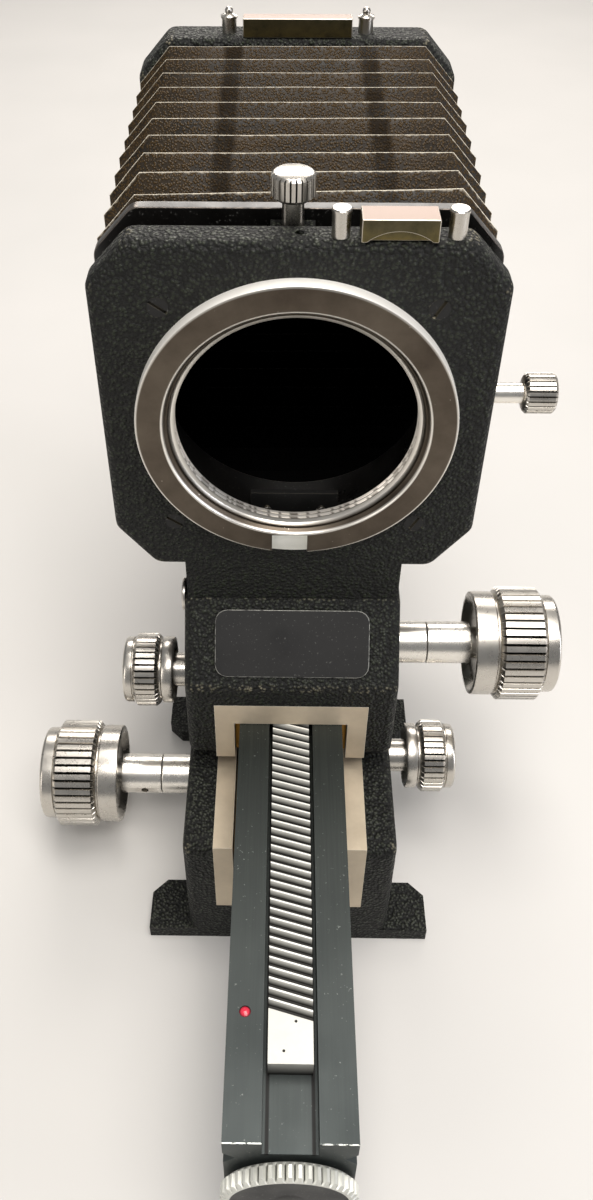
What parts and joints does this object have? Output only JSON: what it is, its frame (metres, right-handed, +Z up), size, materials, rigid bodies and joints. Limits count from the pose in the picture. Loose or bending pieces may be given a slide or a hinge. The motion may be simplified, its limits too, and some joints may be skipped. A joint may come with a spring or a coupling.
{
  "type": "macro bellows unit",
  "caption": "Close-up bellows on a toothed rail: a front standard with lens ring focuses along the rail, a rear standard holds the camera, and the rail slides through a footed tripod block.",
  "frame": {"origin": "centre of the tripod socket's mouth on the flat underside of the tripod block", "axes": "+Z up, -Y the way the lens looks, +X to the right of a viewer who faces the lens mount"},
  "size_m": [0.1121, 0.2032, 0.1575],
  "materials": {
    "crinkle_paint": "black crinkle paint on cast alloy",
    "bare_alloy": "machined bare alloy",
    "guide_brass": "scraped brass",
    "chrome": "satin chrome",
    "steel": "turned steel",
    "rack_alloy": "milled bright metal",
    "black_anodised": "black anodised, fine drawn lines",
    "satin_black": "satin black lacquer",
    "shoe_alloy": "brass-toned metal, worn",
    "index_red": "red enamel",
    "leatherette": "black pebbled leather cloth"
  },
  "bodies": {
    "tripod_block": {"tripod_block": "crinkle_paint", "block_liner": "bare_alloy", "block_gibs": "guide_brass", "tripod_bush": "steel", "block_drive_bush": "chrome"},
    "block_drive": {"block_drive_shaft": "chrome", "block_pinion": "steel", "block_drive_knob": "chrome"},
    "block_lock": {"block_lock_screw": "steel", "block_lock_knob": "chrome"},
    "rail": {"rail_bar": "black_anodised", "top_rack": "rack_alloy", "bottom_rack": "rack_alloy", "rack_pins": "steel", "index_dot": "index_red", "rear_standard": "crinkle_paint", "rear_liner": "bare_alloy", "rear_gibs": "guide_brass", "rear_shoe_block": "shoe_alloy", "rear_posts": "chrome", "bellows_rear_frame": "satin_black", "bellows": "leatherette", "button_spring": "steel"},
    "front_end_disc": {"front_end_disc": "chrome"},
    "rear_end_disc": {"rear_end_disc": "chrome"},
    "camera_ring": {"camera_ring": "chrome"},
    "camera_ring_button": {"camera_ring_button": "chrome"},
    "rear_clamp": {"rear_clamp_screw": "chrome"},
    "front_standard": {"front_standard": "crinkle_paint", "front_liner": "bare_alloy", "front_gibs": "guide_brass", "front_drive_bush": "chrome", "nameplate_blank": "satin_black", "lens_ring": "chrome", "face_screws": "satin_black", "side_plug": "chrome", "front_shoe_block": "shoe_alloy", "front_posts": "chrome", "bellows_front_plate": "satin_black", "pusher_springs": "steel"},
    "front_drive": {"front_drive_shaft": "chrome", "front_pinion": "steel", "front_drive_knob": "chrome"},
    "front_lock": {"front_lock_screw": "steel", "front_lock_knob": "chrome"},
    "bellows_thumbscrew": {"bellows_thumbscrew": "chrome"},
    "plunger": {"plunger_rod": "chrome", "plunger_head": "chrome"},
    "diaphragm_pusher": {"diaphragm_pusher": "steel"}
  },
  "joints": [
    {"name": "rail_slide", "type": "slide", "parent": "tripod_block", "child": "rail", "axis": [0, 1, 0], "range_m": [-0.06, 0.05]},
    {"name": "block_drive_turn", "type": "hinge", "parent": "tripod_block", "child": "block_drive", "pos_m": [0, -0.0018, 0.01781], "axis": [1, 0, 0], "range_deg": [-840, 1005]},
    {"name": "block_lock_turn", "type": "hinge", "parent": "tripod_block", "child": "block_lock", "pos_m": [0.028, -0.0018, 0.02595], "axis": [1, 0, 0], "range_deg": [0, 180]},
    {"name": "front_slide", "type": "slide", "parent": "rail", "child": "front_standard", "axis": [0, 1, 0], "range_m": [-0.074, 0.044], "deforming": ["bellows"]},
    {"name": "front_drive_turn", "type": "hinge", "parent": "front_standard", "child": "front_drive", "pos_m": [0, 0.0068, 0.05469], "axis": [1, 0, 0], "range_deg": [-740, 1240]},
    {"name": "front_lock_turn", "type": "hinge", "parent": "front_standard", "child": "front_lock", "pos_m": [-0.028, 0.0063, 0.04545], "axis": [-1, 0, 0], "range_deg": [0, 180]},
    {"name": "bellows_thumbscrew_turn", "type": "hinge", "parent": "front_standard", "child": "bellows_thumbscrew", "pos_m": [-0.001, 0.00701, 0.148], "axis": [0, 0, 1], "range_deg": [0, 360]},
    {"name": "plunger_push", "type": "slide", "parent": "front_standard", "child": "plunger", "axis": [-1, 0, 0], "range_m": [0, 0.0035], "stiffness_N_per_m": 80, "springref_m": -0.004},
    {"name": "pusher_travel", "type": "slide", "parent": "front_standard", "child": "diaphragm_pusher", "axis": [0, -1, 0], "range_m": [0, 0.0018], "deforming": ["pusher_springs"]},
    {"name": "front_end_disc_turn", "type": "hinge", "parent": "rail", "child": "front_end_disc", "pos_m": [0, -0.0927, 0.03625], "axis": [0, -1, 0], "range_deg": [0, 360]},
    {"name": "rear_end_disc_turn", "type": "hinge", "parent": "rail", "child": "rear_end_disc", "pos_m": [0, 0.1033, 0.03625], "axis": [0, 1, 0], "range_deg": [0, 360]},
    {"name": "rear_clamp_turn", "type": "hinge", "parent": "rail", "child": "rear_clamp", "pos_m": [-0.024, 0.0913, 0.04545], "axis": [-1, 0, 0], "range_deg": [0, 180]},
    {"name": "camera_ring_turn", "type": "hinge", "parent": "rail", "child": "camera_ring", "pos_m": [0, 0.09641, 0.118], "axis": [0, 1, 0], "continuous": true},
    {"name": "camera_ring_button_push", "type": "slide", "parent": "rail", "child": "camera_ring_button", "axis": [1, 0, 0], "range_m": [0, 0.0014], "stiffness_N_per_m": 80, "springref_m": -0.004, "deforming": ["button_spring"]}
  ],
  "couplings": [
    {"joint": "block_drive_turn", "follows": "rail_slide", "rad_per_m": -290.89},
    {"joint": "front_drive_turn", "follows": "front_slide", "rad_per_m": -290.89},
    {"joint": "pusher_travel", "follows": "plunger_push", "ratio": 0.51}
  ]
}
